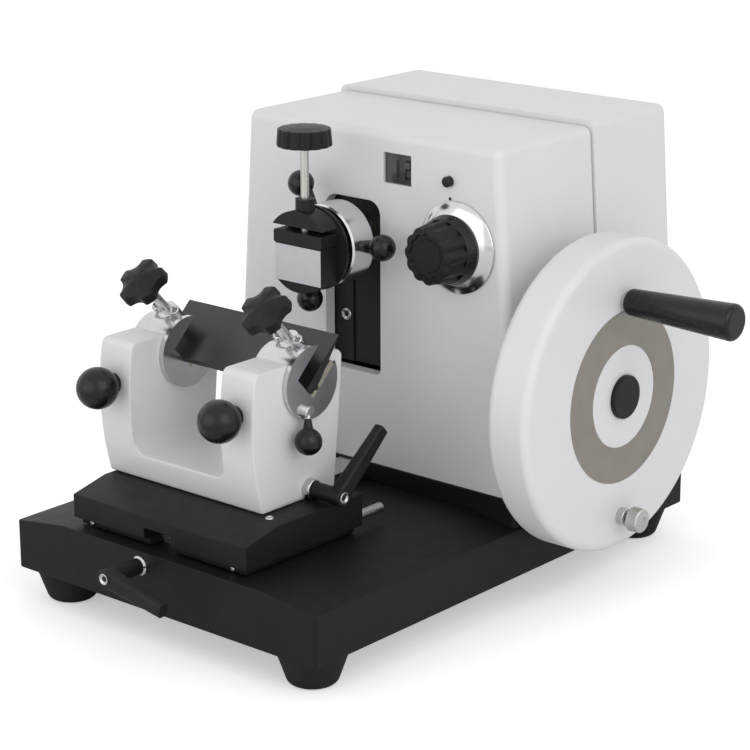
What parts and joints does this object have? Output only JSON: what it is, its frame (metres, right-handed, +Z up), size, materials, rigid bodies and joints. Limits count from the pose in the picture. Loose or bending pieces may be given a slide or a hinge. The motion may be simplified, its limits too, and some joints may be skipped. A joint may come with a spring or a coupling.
{
  "type": "rotary microtome",
  "caption": "Bench rotary microtome: handwheel drives a specimen head up and down past a clamped wedge knife, with thickness dial, counter and sliding knife carriage.",
  "frame": {"origin": "middle of the whole machine's footprint box, on the surface that its feet stand on", "axes": "+Z up, -Y towards the user and the knife, +X towards the handwheel"},
  "size_m": [0.3556, 0.384, 0.2825],
  "materials": {
    "black_base_paint": "satin black paint",
    "white_paint": "semi-gloss white paint",
    "rubber": "dull black rubber",
    "blackened_steel": "black oxide",
    "machined_steel": "turned steel",
    "chrome": "bright turned chrome",
    "knife_steel": "fine ground steel",
    "bronze": "bearing bronze",
    "rest_brass": "dull plated brass",
    "black_plastic": "glossy black plastic",
    "grey_insert": "light grey face",
    "window": "grey display window"
  },
  "bodies": {
    "base": {"base_slab": "black_base_paint", "rubber_feet": "rubber", "carriage_way": "machined_steel", "plinth": "black_base_paint", "front_housing": "white_paint", "rear_cover": "white_paint", "rear_cover_screws": "machined_steel", "counter_window": "window", "counter_module": "black_plastic", "guide_columns": "machined_steel", "column_bridge": "machined_steel", "shaft_bracket": "machined_steel", "shaft_bearings": "bronze", "front_lever_collar": "chrome"},
    "wheel": {"main_shaft": "machined_steel", "crank_disc": "machined_steel", "handwheel": "white_paint", "wheel_ring": "machined_steel", "hub_cap": "black_plastic", "grip_spindle": "machined_steel", "plunger_sleeve": "chrome"},
    "grip": {"hand_grip": "black_plastic"},
    "plunger": {"lock_plunger": "chrome"},
    "casting": {"vertical_slide": "blackened_steel", "slide_strip": "blackened_steel"},
    "screw": {"feed_screw": "machined_steel", "ratchet_wheel": "bronze"},
    "pawl": {"feed_pawl": "machined_steel"},
    "arm": {"feed_arm": "blackened_steel", "orientation_head": "chrome"},
    "gimbal_ring": {"swing_ring": "machined_steel"},
    "gimbal_core": {"tilt_core": "machined_steel"},
    "clamp": {"clamp_body": "blackened_steel", "clamp_insert": "grey_insert"},
    "jaw": {"clamp_jaw": "blackened_steel"},
    "jaw_screw": {"clamp_screw": "machined_steel", "clamp_knob": "black_plastic"},
    "head_knob_right": {"head_lock_knob_right": "black_plastic"},
    "head_knob_upper": {"head_lock_knob_upper": "black_plastic"},
    "head_knob_lower": {"head_lock_knob_lower": "black_plastic"},
    "dial": {"dial_scale_ring": "chrome", "dial_knob": "black_plastic", "dial_cam": "machined_steel"},
    "button": {"reset_button": "black_plastic"},
    "carriage": {"carriage_slide": "blackened_steel", "carriage_plate": "black_base_paint", "carriage_rod": "machined_steel", "gib_screws": "chrome"},
    "base_lever": {"front_lever": "black_plastic"},
    "block": {"knife_block": "white_paint"},
    "block_lever": {"side_lever": "black_plastic"},
    "cradle": {"left_drum": "chrome", "right_drum": "chrome", "knife_rests": "rest_brass", "knife": "knife_steel", "tilt_lever": "black_plastic"},
    "left_star": {"left_star_knob": "black_plastic"},
    "right_star": {"right_star_knob": "black_plastic"},
    "left_lock": {"left_lock_knob": "black_plastic"},
    "right_lock": {"right_lock_knob": "black_plastic"}
  },
  "joints": [
    {"name": "wheel_turn", "type": "hinge", "parent": "base", "child": "wheel", "pos_m": [0.10225, 0.0656, 0.1294], "axis": [1, 0, 0], "continuous": true},
    {"name": "grip_spin", "type": "hinge", "parent": "wheel", "child": "grip", "pos_m": [0.10425, 0.0656, 0.1874], "axis": [1, 0, 0], "continuous": true},
    {"name": "wheel_lock", "type": "slide", "parent": "wheel", "child": "plunger", "axis": [-1, 0, 0], "range_m": [0, 0.008]},
    {"name": "vertical_stroke", "type": "slide", "parent": "base", "child": "casting", "axis": [0, 0, 1], "range_m": [-0.058, 0]},
    {"name": "feed_screw_turn", "type": "hinge", "parent": "casting", "child": "screw", "pos_m": [-0.06575, 0.089, 0.208], "axis": [0, 1, 0], "range_deg": [0, 9000]},
    {"name": "specimen_feed", "type": "slide", "parent": "casting", "child": "arm", "axis": [0, -1, 0], "range_m": [0, 0.025]},
    {"name": "pawl_lift", "type": "hinge", "parent": "casting", "child": "pawl", "pos_m": [-0.08275, 0.0927, 0.225], "axis": [0, 1, 0], "range_deg": [0, 12], "stiffness_Nm_per_rad": 0.02, "springref_deg": -2.86},
    {"name": "head_swing", "type": "hinge", "parent": "arm", "child": "gimbal_ring", "pos_m": [-0.06575, -0.0027, 0.208], "axis": [0, 0, 1], "range_deg": [-6, 6]},
    {"name": "head_tilt", "type": "hinge", "parent": "gimbal_ring", "child": "gimbal_core", "pos_m": [-0.06575, -0.0027, 0.208], "axis": [1, 0, 0], "range_deg": [-6, 6]},
    {"name": "head_rotate", "type": "hinge", "parent": "gimbal_core", "child": "clamp", "pos_m": [-0.06575, -0.0027, 0.208], "axis": [0, -1, 0], "range_deg": [-60, 90]},
    {"name": "jaw_slide", "type": "slide", "parent": "clamp", "child": "jaw", "axis": [0, 0, 1], "range_m": [0, 0.003]},
    {"name": "clamp_screw_turn", "type": "hinge", "parent": "jaw", "child": "jaw_screw", "pos_m": [-0.06575, -0.0248, 0.2395], "axis": [0, 0, 1], "range_deg": [0, 1080]},
    {"name": "head_lock_right_turn", "type": "hinge", "parent": "arm", "child": "head_knob_right", "pos_m": [-0.04085, -0.0025, 0.21018], "axis": [0.9962, 0, 0.0872], "range_deg": [0, 90]},
    {"name": "head_lock_upper_turn", "type": "hinge", "parent": "arm", "child": "head_knob_upper", "pos_m": [-0.08009, -0.0025, 0.22848], "axis": [-0.5736, 0, 0.8192], "range_deg": [0, 90]},
    {"name": "head_lock_lower_turn", "type": "hinge", "parent": "arm", "child": "head_knob_lower", "pos_m": [-0.07632, -0.0025, 0.18534], "axis": [-0.4226, 0, -0.9063], "range_deg": [0, 90]},
    {"name": "dial_turn", "type": "hinge", "parent": "base", "child": "dial", "pos_m": [0.01575, 0.0175, 0.2145], "axis": [0, 1, 0], "range_deg": [0, 300]},
    {"name": "counter_reset", "type": "slide", "parent": "base", "child": "button", "axis": [0, 1, 0], "range_m": [0, 0.002], "stiffness_N_per_m": 400, "springref_m": -0.001},
    {"name": "carriage_travel", "type": "slide", "parent": "base", "child": "carriage", "axis": [0, -1, 0], "range_m": [-0.012, 0.03]},
    {"name": "base_lever_turn", "type": "hinge", "parent": "base", "child": "base_lever", "pos_m": [-0.07035, -0.1875, 0.0482], "axis": [0, 1, 0], "range_deg": [-12, 45]},
    {"name": "block_slide", "type": "slide", "parent": "carriage", "child": "block", "axis": [1, 0, 0], "range_m": [-0.01, 0.018]},
    {"name": "block_lever_turn", "type": "hinge", "parent": "block", "child": "block_lever", "pos_m": [-0.0132, -0.082, 0.0862], "axis": [1, 0, 0], "range_deg": [-25, 60]},
    {"name": "knife_tilt", "type": "hinge", "parent": "block", "child": "cradle", "pos_m": [-0.07545, -0.0815, 0.1502], "axis": [1, 0, 0], "range_deg": [-5, 10]},
    {"name": "left_star_turn", "type": "hinge", "parent": "cradle", "child": "left_star", "pos_m": [-0.1247, -0.07064, 0.16054], "axis": [0, -0.6896, 0.7242], "range_deg": [0, 180]},
    {"name": "left_lock_turn", "type": "hinge", "parent": "block", "child": "left_lock", "pos_m": [-0.1247, -0.141, 0.1382], "axis": [0, 1, 0], "range_deg": [0, 120]},
    {"name": "right_star_turn", "type": "hinge", "parent": "cradle", "child": "right_star", "pos_m": [-0.0262, -0.07064, 0.16054], "axis": [0, -0.6896, 0.7242], "range_deg": [0, 180]},
    {"name": "right_lock_turn", "type": "hinge", "parent": "block", "child": "right_lock", "pos_m": [-0.0262, -0.141, 0.1382], "axis": [0, 1, 0], "range_deg": [0, 120]}
  ],
  "couplings": [
    {"joint": "feed_screw_turn", "follows": "specimen_feed", "rad_per_m": 6283.2},
    {"joint": "clamp_screw_turn", "follows": "jaw_slide", "rad_per_m": 6283.2}
  ]
}
